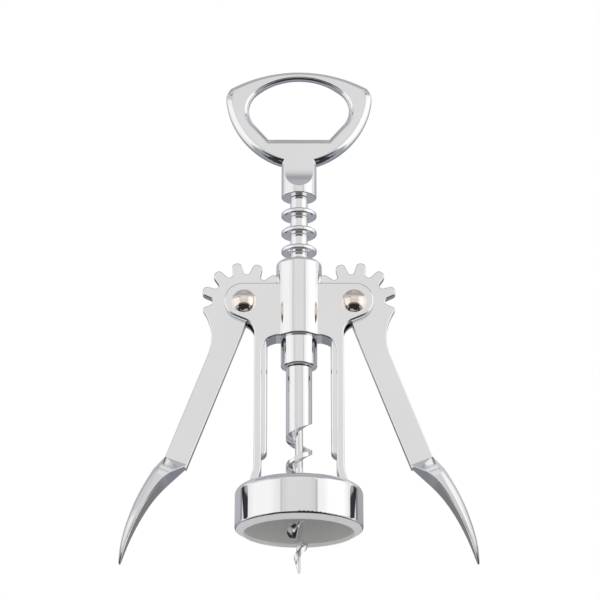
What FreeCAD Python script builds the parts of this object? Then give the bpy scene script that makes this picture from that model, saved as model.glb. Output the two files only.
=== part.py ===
import FreeCAD, Part
import math
import os

from FreeCAD import Vector

os.makedirs("parts", exist_ok=True)

# Wing corkscrew. Millimetres, +Z up along the worm's axis, -Y to the front.
# The origin is the centre of the bell's mouth. The levers stand as in the photo.

# Bell
bell_radius = 22.05
bell_height = 15.8
bell_mouth_radius = 19.0
bell_lip_height = 1.6
bell_lip_flat = 0.4
bell_lip_rounding = 0.5
bell_wall_rounding = 0.9
bell_top_rounding = 2.7
bell_cavity_depth = 12.4
bell_cavity_rounding = 2.4
bell_cavity_taper = 0.6
worm_hole_gap = 0.7
worm_hole_rounding = 0.4

# Gears and rack
teeth_per_turn = 12
ring_pitch = 6.9
gear_addendum = 2.32
gear_dedendum = 2.03
tooth_tip_width = 3.2
tooth_root_width = 4.1
tooth_tip_rounding = 1.45
tooth_root_rounding = 0.8
first_tooth = 19.3
teeth_before = 3
teeth_after = 3
half_tooth_addendum = 1.65
half_tooth_lag = 26.0
half_tooth_rounding = 0.8
gear_space = 0.4
mesh_shift = 0.48
rings_above_mesh = 5

# Pivots
pivot_height = 82.9
rack_line_radius = 6.17

# Sleeve
sleeve_radius = 8.05
sleeve_below_pivot = 12.9
sleeve_above_pivot = 15.8
sleeve_top_rounding = 1.6
sleeve_bottom_rounding = 0.8

# Cheek plates and legs: insets run from the pivots towards the axis
frame_depth = 9.4
plate_edge_rounding = 0.6
cheek_end_radius = 6.4
cheek_end_shift = 0.45
cheek_slope = 23.0
cheek_fillet = 5.0
leg_outer_inset = 3.7
leg_width = 2.65
leg_foot_flare = 1.9
leg_foot_height = 6.0
leg_foot_rounding = 7.0
leg_foot_sink = 0.6
arch_rise = 1.6
arch_rounding = 5.0
rib_outer_inset = 5.45
rib_width = 2.8
rib_depth = 6.4
rib_above_bell = 10.8
rib_rounding = 0.9
rib_end_rounding = 2.4

# Levers
lever_thickness = 3.8
lever_side_gap = 0.25
lever_edge_rounding = 0.45
arm_angle = 21.0
arm_inner = 3.5
arm_outer = 4.9
arm_length = 63.2
hub_length = 4.0
hub_rounding = 2.0
back_turn_along = 14.0
back_rounding = 18.0

# Wing pad: distance past the arm's end, inner face, crown, half width, edge thickness
wing_root = (-1.2, -3.5, 5.15, 1.87, 8.3)
wing_stations = (
    (4.1, 0.2, 7.1, 6.2, 4.3),
    (7.3, 1.75, 7.7, 6.5, 2.8),
    (11.3, 3.15, 8.3, 5.9, 2.0),
    (16.3, 4.35, 8.75, 5.3, 1.5),
    (21.3, 5.1, 8.8, 4.8, 1.2),
    (26.8, 5.5, 8.5, 4.0, 1.0),
    (32.8, 5.5, 7.6, 3.0, 0.9),
    (37.3, 5.25, 6.35, 1.9, 0.6),
    (39.1, 5.1, 5.7, 0.9, 0.4),
)
wing_edge_rounding = 0.45

# Rivets
rivet_radius = 2.4
rivet_head_radius = 4.25
rivet_head_height = 2.7
rivet_running_gap = 0.06

# Ringed spindle
ring_radius = 6.32
ring_thickness = 1.95
ring_rounding = 0.75
ring_root_rounding = 0.3
ring_count = 6
core_radius = 3.1
bore_edge_rounding = 0.2
guide_radius = 6.4
guide_below_sleeve = 10.6
guide_rounding = 0.8
sleeve_running_gap = 0.07

# Worm
stem_radius = 2.0
stem_running_gap = 0.06
stem_seat = 10.0
end_play = 0.1
shank_radius = 4.58
shank_rounding = 0.3
flange_thickness = 1.6
flange_root_thickness = 3.3
flange_core_radius = 1.4
worm_pitch = 11.15
worm_turn_height = 28.8
groove_start_turn = 0.3
worm_reach = 13.9
worm_taper = 15.5
worm_taper_rounding = 24.0
worm_tip_radius = 0.35
core_taper = 1.15
core_taper_height = 4.0

# Handle: the loop's places are (across, height above the neck's lower end)
neck_radius = 6.3
neck_gap = 5.7
neck_rounding = 0.4
neck_past_hip = 2.0
neck_flat_up = 9.9
neck_flat_rounding = 12.9
loop_half_thickness = 4.07
loop_thinning = 0.041
loop_rounding_steps = (0, 30, 60, 90)

# Outline of the loop at its parting plane and at its flat face, and the same of the
# opening: the crest and shoulder, then each side's arcs or lines, and the bottom
loop_edge = (
    ((0, 49.5), (24.9, 42.8)),
    ((26.05, 40.7), (26.4, 37.9)),
    ((22.75, 26.3), (11.2, 14.7)),
    (0, 11.9),
)
loop_flat = (
    ((0, 47.9), (22.3, 41.8)),
    ((23.0, 40.1), (23.2, 37.5)),
    ((20.2, 27.9), (9.5, 16.4)),
    (0, 13.5),
)
opening_edge = (
    ((0, 46.6), (14.6, 41.2)),
    ((17.95, 35.6), (15.6, 28.1)),
    (None, (10.9, 22.65)),
    None,
)
opening_flat = (
    ((0, 47.15), (16.4, 41.6)),
    ((20.15, 35.2), (17.3, 26.7)),
    (None, (11.4, 19.9)),
    None,
)

# How far a cutting tool, or a joined end, runs past the surface that it meets
overrun = 1.0

# Sizes that follow from the ones above
tooth_step = 360.0 / teeth_per_turn
pitch_radius = teeth_per_turn * ring_pitch / (2 * math.pi)
pivot_offset = rack_line_radius + pitch_radius
left_pivot = (-pivot_offset, pivot_height)
gear_tip_radius = pitch_radius + gear_addendum
gear_root_radius = pitch_radius - gear_dedendum
gear_space_radius = gear_tip_radius + gear_space
slot_width = lever_thickness + 2 * lever_side_gap
sleeve_bottom = pivot_height - sleeve_below_pivot
sleeve_top = pivot_height + sleeve_above_pivot
sleeve_bore_radius = guide_radius + sleeve_running_gap
leg_outer = pivot_offset - leg_outer_inset
leg_inner = leg_outer - leg_width
rib_outer = pivot_offset - rib_outer_inset
rib_inner = rib_outer - rib_width
rib_bottom = bell_height + rib_above_bell
meshing_tooth = first_tooth + 2 * tooth_step
mesh_height = pivot_height + pitch_radius * math.radians(90 - meshing_tooth) + mesh_shift
top_ring_height = mesh_height + (rings_above_mesh - 0.5) * ring_pitch
last_ring_top = top_ring_height - ring_count * ring_pitch + ring_thickness / 2
guide_bottom = sleeve_bottom - guide_below_sleeve
neck_bottom = top_ring_height + ring_thickness / 2 + neck_gap
spindle_top = neck_bottom - end_play
shank_top = guide_bottom - end_play
worm_hole_radius = shank_radius + worm_hole_gap
axis_z = Vector(0, 0, 1)
axis_y = Vector(0, 1, 0)
origin = Vector(0, 0, 0)


def at(x, z, y=0.0):
    return Vector(x, y, z)


def rounded_wire(corners, to_point=at):
    """Closed wire of straight sides, each corner (a, b, radius) rounded by an arc."""
    count = len(corners)
    stretches = []
    for i in range(count):
        before = Vector(*corners[i - 1][:2], 0)
        here = Vector(*corners[i][:2], 0)
        after = Vector(*corners[(i + 1) % count][:2], 0)
        radius = corners[i][2]
        back = (before - here).normalize()
        ahead = (after - here).normalize()
        half = back.getAngle(ahead) / 2
        if radius <= 0 or math.pi / 2 - half < 1e-6:
            stretches.append((here,))
            continue
        reach = radius / math.tan(half)
        middle = here + (back + ahead).normalize() * (radius / math.sin(half) - radius)
        stretches.append((here + back * reach, middle, here + ahead * reach))
    edges = []
    for i in range(count):
        points = [to_point(p.x, p.y) for p in stretches[i]]
        if len(points) == 3:
            edges.append(Part.Arc(*points).toShape())
        following = stretches[(i + 1) % count][0]
        following = to_point(following.x, following.y)
        if points[-1].distanceToPoint(following) > 1e-5:
            edges.append(Part.LineSegment(points[-1], following).toShape())
    return Part.Wire(edges)


def mirrored_pairs(half):
    """The corners of a left half, followed by the same ones on the right."""
    return half + [(-x, z, r) for x, z, r in reversed(half)]


def plate(wire, thickness):
    """A flat plate of the given outline, centred on the XZ plane."""
    face = Part.Face(wire)
    face.translate(Vector(0, -thickness / 2, 0))
    return face.extrude(Vector(0, thickness, 0))


def turned(corners):
    """A body of revolution about the Z axis from corners (r, z, rounding)."""
    return Part.Face(rounded_wire(corners)).revolve(origin, axis_z, 360)


def drum(radius, low, high):
    return Part.makeCylinder(radius, high - low, at(0, low), axis_z)


def cross_drum(radius, centre, thickness):
    """A disc across the frame, from front to back, about an (x, z) centre."""
    return Part.makeCylinder(radius, thickness, at(*centre, -thickness / 2), axis_y)


def block(low, high):
    size = [high[i] - low[i] for i in range(3)]
    return Part.makeBox(*size, Vector(*low))


def round_edges(shape, radius, choose):
    return shape.makeFillet(radius, [e for e in shape.Edges if choose(e)])


def lies_flat_at(edge, depth):
    """True for an edge that lies in one of the planes y = depth and y = -depth."""
    box = edge.BoundBox
    flat = box.YLength < 1e-6
    return flat and abs(abs(box.YMin) - depth) < 1e-6


def mirror_x(shape):
    return shape.mirror(origin, Vector(1, 0, 0))


def write(shape, name):
    shape = shape.removeSplitter()
    solids = shape.Solids
    if len(solids) != 1 or not solids[0].isValid():
        print("check", name, "solids", len(solids), "valid", shape.isValid())
    solids[0].exportStep("parts/" + name + ".step")
    print(name, "volume", round(solids[0].Volume, 1))


# Frame casting


def bell():
    cavity_top_radius = bell_mouth_radius - bell_cavity_taper
    corners = [
        (bell_mouth_radius, 0, 0),
        (bell_mouth_radius + bell_lip_flat, 0, bell_lip_rounding),
        (bell_radius, bell_lip_height, bell_wall_rounding),
        (bell_radius, bell_height, bell_top_rounding),
        (worm_hole_radius, bell_height, worm_hole_rounding),
        (worm_hole_radius, bell_cavity_depth, worm_hole_rounding),
        (cavity_top_radius, bell_cavity_depth, bell_cavity_rounding),
    ]
    return turned(corners)


def cheeks_and_legs():
    """Front and rear plates as one thick plate, before the lever slots are cut."""
    slope = math.radians(cheek_slope)
    end_x = -pivot_offset - cheek_end_shift
    end_z = pivot_height + cheek_end_shift
    top = end_z + cheek_end_radius
    tangent_x = end_x - cheek_end_radius * math.sin(slope)
    tangent_z = end_z - cheek_end_radius * math.cos(slope)
    far_x = tangent_x - (top - tangent_z) / math.tan(slope)
    knee_z = tangent_z - (-leg_outer - tangent_x) * math.tan(slope)
    foot_z = bell_height - leg_foot_sink
    half = [
        (far_x, top, cheek_end_radius),
        (-leg_outer, knee_z, cheek_fillet),
        (-leg_outer, bell_height + leg_foot_height, leg_foot_rounding),
        (-leg_outer - leg_foot_flare, foot_z, 0),
        (-leg_inner - leg_foot_flare, foot_z, 0),
        (-leg_inner, bell_height + leg_foot_height, leg_foot_rounding),
        (-leg_inner, sleeve_bottom - arch_rise, arch_rounding),
        (-sleeve_radius, sleeve_bottom, 0),
    ]
    solid = plate(rounded_wire(mirrored_pairs(half)), frame_depth)
    return round_edges(solid, plate_edge_rounding, lambda e: lies_flat_at(e, frame_depth / 2))


def rib():
    """The inner rib of the left leg, from the arch down, with a rounded end."""
    corners = [
        (-rib_outer, rib_bottom, 0),
        (-rib_inner, rib_bottom, rib_end_rounding),
        (-rib_inner, sleeve_bottom - arch_rise, 0),
        (-rib_outer, sleeve_bottom - arch_rise, 0),
    ]
    solid = plate(rounded_wire(corners), rib_depth)

    def inner_side(edge):
        return lies_flat_at(edge, rib_depth / 2) and edge.BoundBox.XMax > -rib_outer + 0.1 \
            and edge.BoundBox.ZMin < sleeve_bottom - arch_rise - 0.1
    return round_edges(solid, rib_rounding, inner_side)


def lever_slot():
    """The room that the left lever turns in, open outwards."""
    gear_room = cross_drum(gear_space_radius, left_pivot, slot_width)
    reach = pivot_offset + gear_space_radius
    channel = block((-reach, -slot_width / 2, bell_height),
                    (-rib_outer, slot_width / 2, pivot_height))
    return gear_room.fuse(channel)


def frame():
    sleeve = drum(sleeve_radius, sleeve_bottom, sleeve_top)
    sleeve = round_edges(sleeve, sleeve_top_rounding,
                         lambda e: e.BoundBox.ZMin > sleeve_top - 0.1)
    sleeve = round_edges(sleeve, sleeve_bottom_rounding,
                         lambda e: e.BoundBox.ZMax < sleeve_bottom + 0.1)
    left_rib = rib()
    casting = cheeks_and_legs().multiFuse([left_rib, mirror_x(left_rib), sleeve])
    left_slot = lever_slot()
    bore = drum(sleeve_bore_radius, sleeve_bottom - overrun, sleeve_top + overrun)
    casting = casting.cut([left_slot, mirror_x(left_slot), bore])
    for side in (-1, 1):
        casting = casting.cut(cross_drum(rivet_radius, (side * pivot_offset, pivot_height),
                                         frame_depth + 2 * overrun))
    return casting.fuse(bell())


# Levers


def around_pivot(radius, angle):
    """The point at a clockwise angle from straight up, seen from the front."""
    turn = math.radians(angle)
    return (left_pivot[0] + radius * math.sin(turn), left_pivot[1] + radius * math.cos(turn))


def along_arm(distance, offset):
    """The point at a distance down the arm, and an offset outwards from its line."""
    lean = math.radians(arm_angle)
    x = left_pivot[0] - distance * math.sin(lean) - offset * math.cos(lean)
    z = left_pivot[1] - distance * math.cos(lean) + offset * math.sin(lean)
    return (x, z)


def lever_outline():
    tip_half = math.degrees(math.asin(tooth_tip_width / 2 / gear_tip_radius))
    root_half = math.degrees(math.asin(tooth_root_width / 2 / gear_root_radius))
    last_back_tooth = first_tooth - teeth_before * tooth_step
    half_tooth = pitch_radius + half_tooth_addendum
    corners = [
        (*around_pivot(half_tooth, last_back_tooth - half_tooth_lag), half_tooth_rounding),
        (*around_pivot(gear_root_radius, last_back_tooth - tooth_step + root_half),
         tooth_root_rounding),
    ]
    for i in range(-teeth_before, teeth_after + 1):
        middle = first_tooth + i * tooth_step
        corners.append((*around_pivot(gear_root_radius, middle - root_half), tooth_root_rounding))
        corners.append((*around_pivot(gear_tip_radius, middle - tip_half), tooth_tip_rounding))
        corners.append((*around_pivot(gear_tip_radius, middle + tip_half), tooth_tip_rounding))
        corners.append((*around_pivot(gear_root_radius, middle + root_half), tooth_root_rounding))
    corners += [
        (*along_arm(hub_length, -arm_inner), hub_rounding),
        (*along_arm(arm_length, -arm_inner), 0),
        (*along_arm(arm_length, arm_outer), 0),
        (*along_arm(back_turn_along, arm_outer), back_rounding),
    ]
    return rounded_wire(corners)


def wing_section(past_arm, inner, crown, half_width, edge):
    """A D-shaped section across the wing: flat inside with rounded edges, crowned outside."""
    distance = arm_length + past_arm
    radius = min(wing_edge_rounding, edge / 2)
    middle = radius * (1 - math.sqrt(0.5))

    def point(offset, y):
        return at(*along_arm(distance, offset), y)

    def rounded_corner(side):
        """From the inner face round to the side, at the front (-1) or the back (1)."""
        return Part.Arc(point(inner, side * (half_width - radius)),
                        point(inner + middle, side * (half_width - middle)),
                        point(inner + radius, side * half_width)).toShape()

    def straight(start, end):
        return Part.LineSegment(start, end).toShape()
    front, back = -half_width, half_width
    return Part.Wire(Part.__sortEdges__([
        straight(point(inner, front + radius), point(inner, back - radius)),
        rounded_corner(1),
        straight(point(inner + radius, back), point(inner + edge, back)),
        Part.Arc(point(inner + edge, back), point(crown, 0), point(inner + edge, front)).toShape(),
        straight(point(inner + edge, front), point(inner + radius, front)),
        rounded_corner(-1),
    ]))


def lever():
    gear_and_arm = plate(lever_outline(), lever_thickness)
    end = at(*along_arm(arm_length, 0))

    def outline_edge(edge):
        middle = edge.CenterOfMass
        return lies_flat_at(edge, lever_thickness / 2) and middle.distanceToPoint(end) > arm_inner
    gear_and_arm = round_edges(gear_and_arm, lever_edge_rounding, outline_edge)
    sections = [wing_section(*station) for station in wing_stations]
    flare = Part.makeLoft([wing_section(*wing_root), sections[0]], True, True)
    wing = Part.makeLoft(sections, True, False)
    hole = cross_drum(rivet_radius + rivet_running_gap, left_pivot,
                      lever_thickness + 2 * overrun)
    return gear_and_arm.multiFuse([flare, wing]).cut(hole)


def rivet():
    """A shank through both cheeks, with a domed head at each end."""
    sphere_radius = (rivet_head_radius ** 2 + rivet_head_height ** 2) / (2 * rivet_head_height)
    face = frame_depth / 2
    sink = sphere_radius - rivet_head_height
    shank = cross_drum(rivet_radius, left_pivot, frame_depth + overrun)
    heads = []
    for side in (-1, 1):
        ball = Part.makeSphere(sphere_radius, at(*left_pivot, side * (face - sink)))
        low, high = sorted((side * face, side * (face + sphere_radius)))
        cap = block((-pivot_offset - sphere_radius, low, pivot_height - sphere_radius),
                    (-pivot_offset + sphere_radius, high, pivot_height + sphere_radius))
        heads.append(ball.common(cap))
    return shank.multiFuse(heads)


# Ringed spindle


def rack_spindle():
    bore = stem_radius + stem_running_gap
    corners = [(bore, spindle_top, bore_edge_rounding),
               (bore, guide_bottom, bore_edge_rounding),
               (guide_radius, guide_bottom, guide_rounding),
               (guide_radius, last_ring_top, ring_rounding),
               (core_radius, last_ring_top, ring_root_rounding)]
    for i in reversed(range(ring_count)):
        low = top_ring_height - i * ring_pitch - ring_thickness / 2
        high = low + ring_thickness
        corners += [(core_radius, low, ring_root_rounding), (ring_radius, low, ring_rounding),
                    (ring_radius, high, ring_rounding), (core_radius, high, ring_root_rounding)]
    corners.append((core_radius, spindle_top, bore_edge_rounding))
    return turned(corners)


# Worm


def groove(low, high, draw_in=0.0):
    """The helical groove that leaves the flange, with its foot drawn in to the axis."""
    outside = shank_radius + overrun
    outer_half = (worm_pitch - flange_thickness) / 2
    core_half = (worm_pitch - flange_root_thickness) / 2
    grow = (outer_half - core_half) / (shank_radius - flange_core_radius)
    outside_half = outer_half + grow * (outside - shank_radius)
    cone = math.degrees(math.atan(draw_in / (high - low))) if draw_in else -1
    path = Part.makeHelix(worm_pitch, high - low, shank_radius - draw_in, cone)
    corners = [(flange_core_radius, -core_half), (outside, -outside_half),
               (outside, outside_half), (flange_core_radius, core_half)]
    points = [at(r - draw_in, z) for r, z in corners]
    profile = Part.makePolygon(points + points[:1])
    shell = Part.BRepOffsetAPI.MakePipeShell(Part.Wire(path.Edges))
    shell.setBiNormalMode(axis_z)
    shell.add(profile, False, False)
    shell.build()
    shell.makeSolid()
    solid = shell.shape()
    solid.rotate(origin, axis_z, 360 * ((low - worm_turn_height) / worm_pitch - 0.5))
    solid.translate(at(0, low))
    return solid


def worm():
    below = -worm_reach - worm_pitch
    start = worm_turn_height + (0.5 + groove_start_turn) * worm_pitch
    blank = drum(shank_radius, -worm_reach - overrun, shank_top)
    taper_start = worm_taper - worm_reach
    envelope = turned([
        (0, shank_top, 0),
        (shank_radius, shank_top, shank_rounding),
        (shank_radius, taper_start, worm_taper_rounding),
        (worm_tip_radius, -worm_reach, 0),
        (0, -worm_reach, 0),
    ])
    fine_groove = groove(-worm_reach - overrun, core_taper_height, core_taper)
    stem = drum(stem_radius, shank_top - overrun, neck_bottom + stem_seat)
    threaded = blank.cut(groove(below, start)).cut(fine_groove)
    return threaded.common(envelope).fuse(stem)


# Handle


def loop_face(up):
    """How far the loop's flat face stands in front of its parting plane."""
    return loop_half_thickness - loop_thinning * up


def between(first, last, share):
    if first is None:
        return None
    if isinstance(first, tuple):
        return tuple(between(a, b, share) for a, b in zip(first, last))
    return first + (last - first) * share


def ring_wire(stops, share):
    """A closed outline, the same left and right, at a share of the half thickness."""
    def spot(place, side=1):
        across, up = place
        return Vector(side * across, -share * loop_face(up), neck_bottom + up)

    def stretch(start, via, end):
        if via is None:
            return Part.LineSegment(start, end).toShape()
        return Part.Arc(start, via, end).toShape()

    crest, shoulder = stops[0]
    bottom = stops[-1]
    edges = [stretch(spot(shoulder, -1), spot(crest), spot(shoulder))]
    for side in (1, -1):
        last = shoulder
        for via, end in stops[1:-1]:
            edges.append(stretch(spot(last, side), via and spot(via, side), spot(end, side)))
            last = end
    edges.append(stretch(spot(last, -1), bottom and spot(bottom), spot(last)))
    return Part.Wire(Part.__sortEdges__(edges))


def rounded_half(edge, flat):
    """A half thickness that curves over from its parting plane into its flat face."""
    wires = []
    for step in loop_rounding_steps:
        turn = math.radians(step)
        wires.append(ring_wire(between(edge, flat, 1 - math.cos(turn)), math.sin(turn)))
    return Part.makeLoft(wires, True, False)


def neck():
    """The round neck, with a flat front and back that run out in a curve."""
    hip = loop_edge[2][1][1]
    top = neck_bottom + hip + neck_past_hip
    solid = drum(neck_radius, neck_bottom, top)
    solid = round_edges(solid, neck_rounding, lambda e: e.BoundBox.ZMax < neck_bottom + 0.1)
    face = loop_face(hip)
    lean = math.degrees(math.atan(loop_thinning))
    outside = neck_radius + overrun
    flat_bottom = neck_bottom + neck_flat_up
    flat = block((-outside, -outside, flat_bottom), (outside, -face, top + overrun))
    centre = Vector(-outside, -face - neck_flat_rounding, flat_bottom)
    run_out = Part.makeCylinder(neck_flat_rounding, 2 * outside, centre, Vector(1, 0, 0))
    cutter = flat.fuse(run_out)
    cutter.rotate(Vector(0, -face, neck_bottom + hip), Vector(1, 0, 0), -lean)
    return solid.cut([cutter, cutter.mirror(origin, axis_y)])


def handle():
    front = rounded_half(loop_edge, loop_flat).cut(rounded_half(opening_edge, opening_flat))
    back = front.mirror(origin, axis_y)
    solid = front.multiFuse([back, neck()])
    return solid.cut(drum(stem_radius, neck_bottom - overrun, neck_bottom + stem_seat))


left_lever = lever()
left_rivet = rivet()
write(frame(), "frame")
write(left_lever, "lever_left")
write(mirror_x(left_lever), "lever_right")
write(left_rivet, "rivet_left")
write(mirror_x(left_rivet), "rivet_right")
write(rack_spindle(), "rack_spindle")
write(worm(), "worm")
write(handle(), "handle")
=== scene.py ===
# %% [markdown]
# # A wing corkscrew in polished chrome
#
# This lesson dresses a finished CAD model of a wing corkscrew. The tool is nearly all
# chrome plate, and a mirror has hardly any colour of its own. What makes it look like
# chrome is the studio that it reflects, how smooth its surfaces are, and the small
# marks that daily use leaves. So the lesson spends its effort on those three things. It
# adds no shape, because the model already has every tooth, ring and rounding.

# %% Load the frame
import bpy
import bmesh
import math

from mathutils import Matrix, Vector


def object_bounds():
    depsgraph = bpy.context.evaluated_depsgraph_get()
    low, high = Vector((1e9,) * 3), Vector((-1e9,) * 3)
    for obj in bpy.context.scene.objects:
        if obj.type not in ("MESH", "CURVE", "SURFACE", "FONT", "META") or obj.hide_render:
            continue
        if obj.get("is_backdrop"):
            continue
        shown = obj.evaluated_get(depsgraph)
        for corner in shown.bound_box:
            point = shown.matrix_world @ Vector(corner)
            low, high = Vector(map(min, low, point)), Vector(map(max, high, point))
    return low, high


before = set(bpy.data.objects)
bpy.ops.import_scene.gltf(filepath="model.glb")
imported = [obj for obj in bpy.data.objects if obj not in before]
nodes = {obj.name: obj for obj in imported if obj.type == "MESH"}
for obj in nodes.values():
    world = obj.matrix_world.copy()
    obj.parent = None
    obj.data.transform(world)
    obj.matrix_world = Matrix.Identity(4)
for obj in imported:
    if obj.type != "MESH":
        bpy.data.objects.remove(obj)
cad_box = [list(corner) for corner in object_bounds()]
print("nodes:", ", ".join(sorted(nodes)))
print("size in mm:", [round(1000 * (b - a), 1) for a, b in zip(*cad_box)])

# %% [markdown]
# ## Camera
#
# The picture looks up at the tool from a little below, with a long lens, so the plates
# stay almost free of perspective while the undersides of the rings still show. A lens
# shift slides the picture one pixel sideways without turning the camera.

# %% Camera
LENS = 150.0
SENSOR_WIDTH = 36.0
TILT = 20.2
CAMERA_PLACE = (0.0, -0.82777, -0.2197)
PICTURE_WIDTH = 600
SHIFT_PIXELS = 1

camera_data = bpy.data.cameras.new("camera")
camera_data.lens = LENS
camera_data.sensor_width = SENSOR_WIDTH
camera_data.shift_x = SHIFT_PIXELS / PICTURE_WIDTH
camera_data.clip_start = 0.05
camera_data.clip_end = 20.0
camera = bpy.data.objects.new("camera", camera_data)
camera.location = CAMERA_PLACE
camera.rotation_euler = (math.radians(90 + TILT), 0.0, 0.0)
bpy.context.scene.collection.objects.link(camera)
bpy.context.scene.camera = camera
bpy.context.scene.view_settings.view_transform = "Standard"
print("camera looks up", TILT, "degrees through", LENS, "mm")

# %% [markdown]
# ## Small helpers for node trees
#
# A material is a tree of nodes. Writing every link by hand takes many lines, so `wire`
# makes one node, sets or links its inputs by name or number, and hands it back. The
# rest are short names for the few nodes that this lesson uses again and again.


# %% Node helpers
def wire(tree, kind, inputs=None, **settings):
    """Adds a node. An input's value may be a number, a colour or another node's socket."""
    node = tree.nodes.new(kind)
    for name, value in settings.items():
        setattr(node, name, value)
    for name, value in (inputs or {}).items():
        socket = node.inputs[name]
        if isinstance(value, bpy.types.NodeSocket):
            tree.links.new(value, socket)
        else:
            socket.default_value = value
    return node


def calc(tree, operation, *values):
    """A math node's output, from numbers or sockets."""
    return wire(tree, "ShaderNodeMath", dict(enumerate(values)), operation=operation).outputs[0]


def rescale(tree, value, before=(0.0, 1.0), after=(0.0, 1.0), **settings):
    """Carries a value from one range to another, and holds it at the ends."""
    inputs = {"Value": value, "From Min": before[0], "From Max": before[1],
              "To Min": after[0], "To Max": after[1]}
    return wire(tree, "ShaderNodeMapRange", inputs, **settings).outputs[0]


print("helpers ready: wire, calc, rescale")

# %% [markdown]
# A Mix node shows one pair of inputs and hides the pairs for other kinds of data. From
# Python all of them are there, and several share a name, so they are found by number.

# %% Mixing helpers
NUMBER_A, NUMBER_B, COLOUR_A, COLOUR_B = 2, 3, 6, 7
NUMBER_RESULT, COLOUR_RESULT = 0, 2


def mix_numbers(tree, factor, first, second):
    """A number between two, each a value or a socket."""
    inputs = {"Factor": factor, NUMBER_A: first, NUMBER_B: second}
    return wire(tree, "ShaderNodeMix", inputs, data_type="FLOAT").outputs[NUMBER_RESULT]


def mix_colours(tree, factor, first, second):
    """A colour between two, each a value or a socket."""
    inputs = {"Factor": factor, COLOUR_A: first, COLOUR_B: second}
    return wire(tree, "ShaderNodeMix", inputs, data_type="RGBA").outputs[COLOUR_RESULT]


def opaque(tint):
    """A colour with its alpha, as a socket takes it."""
    return (*tint, 1.0)


print("helpers ready: mix_numbers, mix_colours, opaque")

# %% [markdown]
# An effect that several materials share is a node group: built once, with named inputs,
# and placed in each tree with its own values. In the groups of this lesson every socket
# carries a plain number, so a list of names is enough to make them.


# %% Material and group helpers
def new_material(name):
    """An empty material and its tree."""
    material = bpy.data.materials.new(name)
    material.use_nodes = True
    material.node_tree.nodes.clear()
    return material, material.node_tree


def new_group(name, inputs, outputs):
    """A shader node group, with its input node's outputs and its output node's inputs."""
    group = bpy.data.node_groups.new(name, "ShaderNodeTree")
    for side, titles in (("INPUT", inputs), ("OUTPUT", outputs)):
        for title in titles:
            group.interface.new_socket(title, in_out=side, socket_type="NodeSocketFloat")
    given = group.nodes.new("NodeGroupInput").outputs
    result = group.nodes.new("NodeGroupOutput").inputs
    return group, given, result


def use_group(tree, group, inputs):
    """Places a group in a tree, with its own values."""
    return wire(tree, "ShaderNodeGroup", inputs, node_tree=group)


print("helpers ready: new_material, new_group, use_group")

# %% [markdown]
# ## The room
#
# The world is plain white to the camera, and to mirrors and glass where no tent stands
# before it. A surface that scatters light gets a little less from it, so that nothing
# pale burns out. One strength for both would need fewer nodes, but the light on the
# tool and the white of the picture couldn't then be set apart.

# %% World
WORLD_LIGHT = 0.85
WORLD_SHOWN = 1.0

world = bpy.data.worlds.new("white room")
bpy.context.scene.world = world
world.use_nodes = True
tree = world.node_tree
tree.nodes.clear()
path = wire(tree, "ShaderNodeLightPath")
through = calc(tree, "MAXIMUM", path.outputs["Is Glossy Ray"], path.outputs["Is Transmission Ray"])
sees_background = calc(tree, "MAXIMUM", path.outputs["Is Camera Ray"], through)
strength = rescale(tree, sees_background, after=(WORLD_LIGHT, WORLD_SHOWN))
light = wire(tree, "ShaderNodeBackground", {"Color": opaque((1.0, 1.0, 1.0)), "Strength": strength})
wire(tree, "ShaderNodeOutputWorld", {"Surface": light.outputs[0]})
print("world lights with", WORLD_LIGHT, "and shows", WORLD_SHOWN)

# %% [markdown]
# The tool hangs in the air as on a thread. A pale paper floor lies well below it, out
# of the picture, and takes its shadow. It is one face, because flat paper needs no
# more. Mirrors don't see it: the tent of a later step has its own floor for them.

# %% Floor
FLOOR_HEIGHT = -0.45
FLOOR_REACH = 3.0
PAPER_SHADES = (0.80, 0.84)


def make_object(name, shape, material):
    """An object in the scene from a finished bmesh and one material."""
    mesh = bpy.data.meshes.new(name)
    shape.to_mesh(mesh)
    shape.free()
    mesh.materials.append(material)
    thing = bpy.data.objects.new(name, mesh)
    bpy.context.scene.collection.objects.link(thing)
    return thing


floor_material, tree = new_material("pale floor")
speckle = wire(tree, "ShaderNodeTexNoise", {"Scale": 40.0, "Detail": 4.0}).outputs[0]
shade = rescale(tree, speckle, after=PAPER_SHADES)
paper = wire(tree, "ShaderNodeBsdfPrincipled", {"Base Color": shade, "Roughness": 0.8})
wire(tree, "ShaderNodeOutputMaterial", {"Surface": paper.outputs[0]})

shape = bmesh.new()
bmesh.ops.create_grid(shape, x_segments=1, y_segments=1, size=FLOOR_REACH)
bmesh.ops.translate(shape, verts=shape.verts, vec=(0, 0, FLOOR_HEIGHT))
floor = make_object("floor", shape, floor_material)
floor.visible_glossy = False
floor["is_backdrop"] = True
print("floor at", FLOOR_HEIGHT, "m, reaching", FLOOR_REACH, "m each way")

# %% [markdown]
# One broad lamp hangs above, to the left and in front, and gives the tool a soft shadow
# on the floor. A small lamp would draw a hard one. The plating doesn't mirror it,
# because the tent gives the plating all that it shows.

# %% Lamp
LAMP_WIDTH = 0.9
LAMP_WATTS = 6.0
LAMP_PLACE = (-0.3, -0.4, 1.4)
LAMP_AIM = (0.0, 0.0, 0.05)

lamp_data = bpy.data.lights.new("overhead", "AREA")
lamp_data.shape = "DISK"
lamp_data.size = LAMP_WIDTH
lamp_data.energy = LAMP_WATTS
lamp = bpy.data.objects.new("overhead", lamp_data)
lamp.location = LAMP_PLACE
lamp.rotation_euler = (Vector(LAMP_AIM) - lamp.location).to_track_quat("-Z", "Y").to_euler()
lamp.visible_glossy = False
bpy.context.scene.collection.objects.link(lamp)
lamp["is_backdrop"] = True
print("lamp of", LAMP_WATTS, "W at", LAMP_PLACE)

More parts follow.
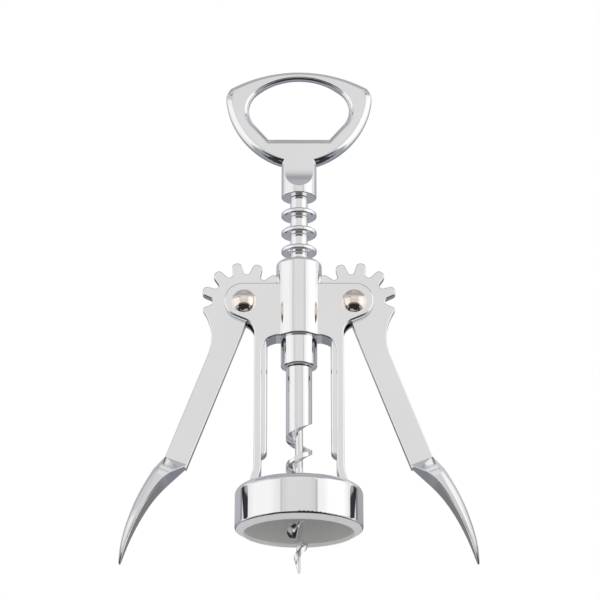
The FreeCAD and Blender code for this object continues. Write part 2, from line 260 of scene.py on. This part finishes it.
# %% [markdown]
# ## The reflection tent
#
# A product photographer hangs white and grey cloth round a chrome tool, and every band
# of light on the metal is one of those cloths. Many lamps and cards could stand round
# the tool, but they would light it too and get in each other's way. Here the tent is
# one large sphere that only mirrors can see, and its panels are painted on it by
# direction: the azimuth, from the camera's side (0) to the right (90), to the left
# (-90) and round to the back (180), and the elevation above the horizon. A panel has
# soft edges and rounded corners, as stretched cloth has.


# %% Panel group
def panel_group():
    """A mask that is 1 where a direction falls on a panel. All its inputs are degrees."""
    group, given, result = new_group(
        "soft panel",
        ["Azimuth", "Elevation", "Middle Azimuth", "Half Width",
         "Middle Elevation", "Half Height", "Corner", "Softness"],
        ["Mask"])

    def beyond(value, middle, half):
        """How far a direction lies past the straight part of one side, never negative."""
        off = calc(group, "ABSOLUTE", calc(group, "SUBTRACT", value, middle))
        straight = calc(group, "SUBTRACT", half, given["Corner"])
        return calc(group, "MAXIMUM", calc(group, "SUBTRACT", off, straight), 0.0)

    across = beyond(given["Azimuth"], given["Middle Azimuth"], given["Half Width"])
    along = beyond(given["Elevation"], given["Middle Elevation"], given["Half Height"])
    reach = calc(group, "SQRT", calc(group, "ADD", calc(group, "MULTIPLY", across, across),
                                     calc(group, "MULTIPLY", along, along)))
    past = calc(group, "SUBTRACT", reach, given["Corner"])
    inner = calc(group, "MULTIPLY", given["Softness"], -1.0)
    mask = rescale(group, past, before=(given["Softness"], inner), interpolation_type="SMOOTHSTEP")
    group.links.new(mask, result["Mask"])
    return group


soft_panel = panel_group()
print("panel group has", len(soft_panel.nodes), "nodes")

# %% [markdown]
# Each panel covers the ones before it, so the wide ones mostly come first. Which panel
# a face shows follows from its slope: the flat plates show the gap in front, rounded
# edges sweep over the boxes at the sides, faces that lean down show the dark below the
# camera, and level undersides show the low bands behind. A row gives the left, right,
# low and high edge, the corner radius and the softness, all in degrees, and the colour.

# %% Panels of the tent
TENT_BASE = (0.35, 0.36, 0.40)


def both_sides(left, right, *rest):
    """A panel on the right, and before it the same panel mirrored to the left."""
    return (-right, -left, *rest), (left, right, *rest)


TENT_PANELS = (
    # ceiling, back walls, the wide glow over the front, and grey bands low behind
    (-200, 200, 57, 130, 4, 8.0, (0.39, 0.39, 0.40)),
    (-200, 200, 69, 130, 4, 3.0, (0.47, 0.47, 0.475)),
    (-200, -126, 12, 57, 4, 2.5, (0.47, 0.48, 0.53)),
    (126, 200, 12, 57, 4, 2.5, (0.40, 0.405, 0.40)),
    (118, 200, 25, 57, 4, 4.0, (0.60, 0.61, 0.66)),
    (-80, 80, 10, 50, 10, 9.0, (0.62, 0.62, 0.62)),
    *both_sides(152, 200, -4, 12, 3, 2.0, (0.200, 0.205, 0.200)),
    *both_sides(146, 200, -18, -4, 2, 2.0, (0.220, 0.230, 0.260)),
    # dark seams behind, the grey floor straight below, and the dark behind that floor
    (-128, -121, 9, 19, 2, 2.0, (0.20, 0.20, 0.22)),
    (119, 129, 9, 19, 2, 2.0, (0.18, 0.18, 0.20)),
    (-200, 200, -130, -66, 3, 3.0, (0.41, 0.41, 0.405)),
    *both_sides(146, 200, -66, -33, 3, 3.0, (0.025, 0.025, 0.027)),
    *both_sides(98, 152, -68, -38, 3, 3.0, (0.04, 0.04, 0.045)),
    # left soft box, then the right one: rim, face, bright middle, dim far end
    (-122, -28, -27, 41, 8, 3.0, (0.62, 0.62, 0.63)),
    (-121, -31, -24, 27, 6, 2.0, (0.87, 0.87, 0.87)),
    (-94, -46, -20, 24, 10, 9.0, (0.99, 0.99, 0.99)),
    (-122, -104, -24, 26, 4, 4.0, (0.78, 0.78, 0.79)),
    (28, 121, -27, 41, 8, 3.0, (0.70, 0.70, 0.71)),
    (30, 121, -24, 37, 6, 1.5, (0.97, 0.97, 0.97)),
    (50, 90, -20, 33, 10, 9.0, (1.12, 1.12, 1.12)),
    (98, 121, -24, 30, 4, 3.0, (0.83, 0.83, 0.85)),
    # gap in front: darker border, pale cloth and brighter middle
    (-33, 33, -14, 43, 6, 1.5, (0.50, 0.50, 0.50)),
    (-31, 30, -14, 42, 6, 1.5, (0.68, 0.675, 0.67)),
    (-24, 24, 12, 34, 8, 7.0, (0.77, 0.765, 0.76)),
    # dark below the camera, and a narrow dark strip high on each side of the gap
    (-50, 50, -60, -18, 8, 3.5, (0.155, 0.150, 0.150)),
    (-98, 98, -89, -46, 4, 2.0, (0.028, 0.026, 0.026)),
    (-62, 62, -60, -29, 8, 4.0, (0.028, 0.026, 0.026)),
    (-60, -37, 36, 39, 1.5, 0.9, (0.10, 0.10, 0.11)),
    (36, 57, 38, 41, 1.5, 0.9, (0.10, 0.10, 0.11)),
)
print("tent has", len(TENT_PANELS), "panels")

# %% [markdown]
# The cloth reads the direction from the sphere's own Object coordinates. It glows, so
# that what a mirror shows is the colour written here, whatever the lamp and world do.

# %% Tent cloth
tent_material, tree = new_material("tent cloth")
place = wire(tree, "ShaderNodeTexCoord").outputs["Object"]
direction = wire(tree, "ShaderNodeVectorMath", {0: place}, operation="NORMALIZE").outputs[0]
x, y, z = wire(tree, "ShaderNodeSeparateXYZ", {0: direction}).outputs
azimuth = calc(tree, "DEGREES", calc(tree, "ARCTAN2", x, calc(tree, "MULTIPLY", y, -1.0)))
elevation = calc(tree, "DEGREES", calc(tree, "ARCSINE", z))
colour = opaque(TENT_BASE)
for left, right, low, high, corner, softness, paint in TENT_PANELS:
    panel = use_group(tree, soft_panel, {
        "Azimuth": azimuth, "Elevation": elevation,
        "Middle Azimuth": (left + right) / 2, "Half Width": (right - left) / 2,
        "Middle Elevation": (low + high) / 2, "Half Height": (high - low) / 2,
        "Corner": corner, "Softness": softness})
    colour = mix_colours(tree, panel.outputs["Mask"], colour, opaque(paint))
glow = wire(tree, "ShaderNodeEmission", {"Color": colour, "Strength": 1.0})
wire(tree, "ShaderNodeOutputMaterial", {"Surface": glow.outputs[0]})
print("cloth has", len(tree.nodes), "nodes")

# %% [markdown]
# The sphere is far wider than the tool, so that a face's place on the tool hardly
# changes what it mirrors. It is hidden from every ray but a mirrored one.

# %% Tent
TENT_RADIUS = 2.5
TENT_CENTRE = (0.0, 0.0, 0.08)

shape = bmesh.new()
bmesh.ops.create_uvsphere(shape, u_segments=96, v_segments=48, radius=TENT_RADIUS)
tent = make_object("tent", shape, tent_material)
tent.location = TENT_CENTRE
for rays in ("camera", "diffuse", "shadow", "transmission", "volume_scatter"):
    setattr(tent, "visible_" + rays, False)
tent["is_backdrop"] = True
print("tent of", TENT_RADIUS, "m radius")

# %% [markdown]
# ## Chrome
#
# Real plating is not a perfect mirror. It has a slow waviness from the casting below
# it, hair-fine scratches from drawers and cloths, and patches that are a touch hazier
# than the rest. Painted marks would need an unwrapped surface and would stretch on the
# worm, so all three come from noise in the piece's own space. A scratch is the rare
# peak of a noise that is drawn out along one line. One group makes the marks, and each
# finish uses it at its own strength.

# %% Plating marks group
SCRATCH_SETS = (((0.3, 0.4, 0.2), 260.0), ((0.3, 1.9, 0.2), 330.0), ((0.3, 2.8, 0.2), 210.0))
SCRATCH_STRETCH = (1.0, 1.0, 0.03)
SCRATCH_PEAKS = (0.68, 0.72)
SCRATCH_ROUGHNESS = 0.2
SCRATCH_DEPTH = 0.002
PATCH_PEAKS = (0.45, 0.7)


def scratch_lines(group, place, turn, fineness):
    """A mask of scratches that all run one way, turned by three angles in radians."""
    laid = wire(group, "ShaderNodeMapping",
                {"Vector": place, "Rotation": turn, "Scale": SCRATCH_STRETCH})
    hair = wire(group, "ShaderNodeTexNoise",
                {"Vector": laid.outputs[0], "Scale": fineness, "Detail": 2.0})
    return rescale(group, hair.outputs[0], before=SCRATCH_PEAKS)


def marks_group():
    """Height and roughness of worn plating, and the mask of its hazy patches."""
    group, given, result = new_group(
        "plating marks", ["Wave", "Scratch", "Base Roughness", "Haze"],
        ["Height", "Roughness", "Patch"])
    place = wire(group, "ShaderNodeTexCoord").outputs["Object"]

    scratches = 0.0
    for turn, fineness in SCRATCH_SETS:
        scratches = calc(group, "MAXIMUM", scratches, scratch_lines(group, place, turn, fineness))
    scratches = calc(group, "MULTIPLY", scratches, given["Scratch"])

    wave = wire(group, "ShaderNodeTexNoise", {"Vector": place, "Scale": 90.0, "Detail": 1.0})
    height = calc(group, "MULTIPLY", wave.outputs[0], given["Wave"])
    height = calc(group, "SUBTRACT", height, calc(group, "MULTIPLY", scratches, SCRATCH_DEPTH))

    cloud = wire(group, "ShaderNodeTexNoise", {"Vector": place, "Scale": 28.0, "Detail": 5.0})
    patch = rescale(group, cloud.outputs[0], before=PATCH_PEAKS)
    haze = calc(group, "MULTIPLY", patch, given["Haze"])
    rough = calc(group, "ADD", calc(group, "ADD", given["Base Roughness"], haze),
                 calc(group, "MULTIPLY", scratches, SCRATCH_ROUGHNESS))

    group.links.new(height, result["Height"])
    group.links.new(rough, result["Roughness"])
    group.links.new(patch, result["Patch"])
    return group


plating_marks = marks_group()
print("marks group has", len(plating_marks.nodes), "nodes")

# %% [markdown]
# ## Plated finishes
#
# All the pieces are plated and differ only a little. Handle and levers mirror more
# softly than the frame and the turned spindle, the worm is duller and hazier, because
# nobody can buff its groove, and the rivets have a warmer tint. So one function makes
# every finish, from two tints and two amounts.

# %% Plated finishes
PLATING_WAVE = 0.004
PLATING_SCRATCH = 0.25
BRIGHT_PLATE = (0.93, 0.93, 0.94)
HAZY_PLATE = (0.90, 0.90, 0.91)


def plated(name, bright=BRIGHT_PLATE, hazy=HAZY_PLATE, roughness=0.03, haze=0.03):
    """A chrome material. Its patches run from the bright tint to the hazy one."""
    material, tree = new_material(name)
    marks = use_group(tree, plating_marks,
                      {"Wave": PLATING_WAVE, "Scratch": PLATING_SCRATCH,
                       "Base Roughness": roughness, "Haze": haze}).outputs
    bump = wire(tree, "ShaderNodeBump",
                {"Height": marks["Height"], "Strength": 0.5, "Distance": 0.001})
    metal = wire(tree, "ShaderNodeBsdfPrincipled",
                 {"Base Color": mix_colours(tree, marks["Patch"], opaque(bright), opaque(hazy)),
                  "Metallic": 1.0, "Roughness": marks["Roughness"], "Normal": bump.outputs[0]})
    wire(tree, "ShaderNodeOutputMaterial", {"Surface": metal.outputs[0]})
    return material


casting_chrome = plated("casting chrome")
cast_chrome = plated("cast chrome", roughness=0.06)
turned_chrome = plated("turned chrome")
worm_steel = plated("plated worm steel", bright=(0.90, 0.90, 0.91), hazy=(0.82, 0.82, 0.83),
                    roughness=0.05, haze=0.08)
rivet_metal = plated("rivet plating", bright=(1.0, 0.91, 0.82), hazy=(0.93, 0.83, 0.74),
                     roughness=0.05, haze=0.05)
print("five plated finishes")

# %% [markdown]
# ## Dull inside of the bell, with painted shade
#
# The casting's outside is polished before it is plated, but the bell's lip and its
# inside are not: they keep the dull skin of the casting under a thin plate. The skin in
# the hollow is painted a darker grey than the lip's, as painted shade where little light
# reaches inside. The frame is one mesh with one slot, so the skin and its painted shade
# are laid over the chrome in the same material.
# A mask by height and radius finds the hollow and its lip. The mask's limits lie just
# past the hollow's wall and roof, in metres from the middle of the bell's mouth.

# %% Dull inside of the bell, with painted shade
# The hollow's colour below is the dull skin darkened with painted shade.
HOLLOW_SKIN_AND_SHADE = (0.67, 0.67, 0.66)
LIP_SKIN = (0.93, 0.93, 0.92)
DULL_ROUGHNESS = 0.6
DULL_METALLIC = 0.35
BELL_INSIDE_HEIGHT = 0.0127
BELL_INSIDE_RADIUS = 0.0191
BELL_LIP_HEIGHT = 0.0013


def bell_inside(tree):
    """Two masks: the bell's lip with the walls and roof of its hollow, and the lip alone."""
    place = wire(tree, "ShaderNodeTexCoord").outputs["Object"]
    x, y, z = wire(tree, "ShaderNodeSeparateXYZ", {0: place}).outputs
    radius = calc(tree, "SQRT", calc(tree, "ADD", calc(tree, "MULTIPLY", x, x),
                                     calc(tree, "MULTIPLY", y, y)))
    within = calc(tree, "LESS_THAN", radius, BELL_INSIDE_RADIUS)
    below = calc(tree, "LESS_THAN", z, BELL_INSIDE_HEIGHT)
    lip = calc(tree, "LESS_THAN", z, BELL_LIP_HEIGHT)
    return calc(tree, "MAXIMUM", lip, calc(tree, "MULTIPLY", within, below)), lip


tree = casting_chrome.node_tree
metal = tree.nodes["Principled BSDF"]
inside, lip = bell_inside(tree)
# The hollow gets the darker colour, which is painted shade; the lip gets the paler one.
skin_and_shade = mix_colours(tree, lip, opaque(HOLLOW_SKIN_AND_SHADE), opaque(LIP_SKIN))
for name, mix, dull in (("Base Color", mix_colours, skin_and_shade),
                        ("Roughness", mix_numbers, DULL_ROUGHNESS),
                        ("Metallic", mix_numbers, DULL_METALLIC)):
    socket = metal.inputs[name]
    chrome = socket.links[0].from_socket if socket.is_linked else socket.default_value
    tree.links.new(mix(tree, inside, chrome, dull), socket)
print("dull skin up to", 1000 * BELL_INSIDE_HEIGHT, "mm inside the bell")

# %% [markdown]
# ## Which piece wears what
#
# Each node of the model has one material slot, and the finish goes into it.

# %% Finishes on the nodes
FINISHES = {
    "frame": casting_chrome, "handle": cast_chrome,
    "lever_left": cast_chrome, "lever_right": cast_chrome,
    "rack_spindle": turned_chrome, "worm": worm_steel,
    "rivet_left": rivet_metal, "rivet_right": rivet_metal,
}
for name, finish in FINISHES.items():
    nodes[name].data.materials[0] = finish
print("finishes on", len(FINISHES), "nodes")

# %% [markdown]
# ## Sizes
#
# The dressed tool is measured against the model's box. Nothing was added, so it should
# have grown by nothing.

# %% Sizes, for comparison with the CAD box
bpy.context.view_layer.update()
drawn_box = [list(corner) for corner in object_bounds()]
grown = [round(1000 * (b - a), 2) for a, b in zip(sum(cad_box, []), sum(drawn_box, []))]
print("grown by mm:", grown)
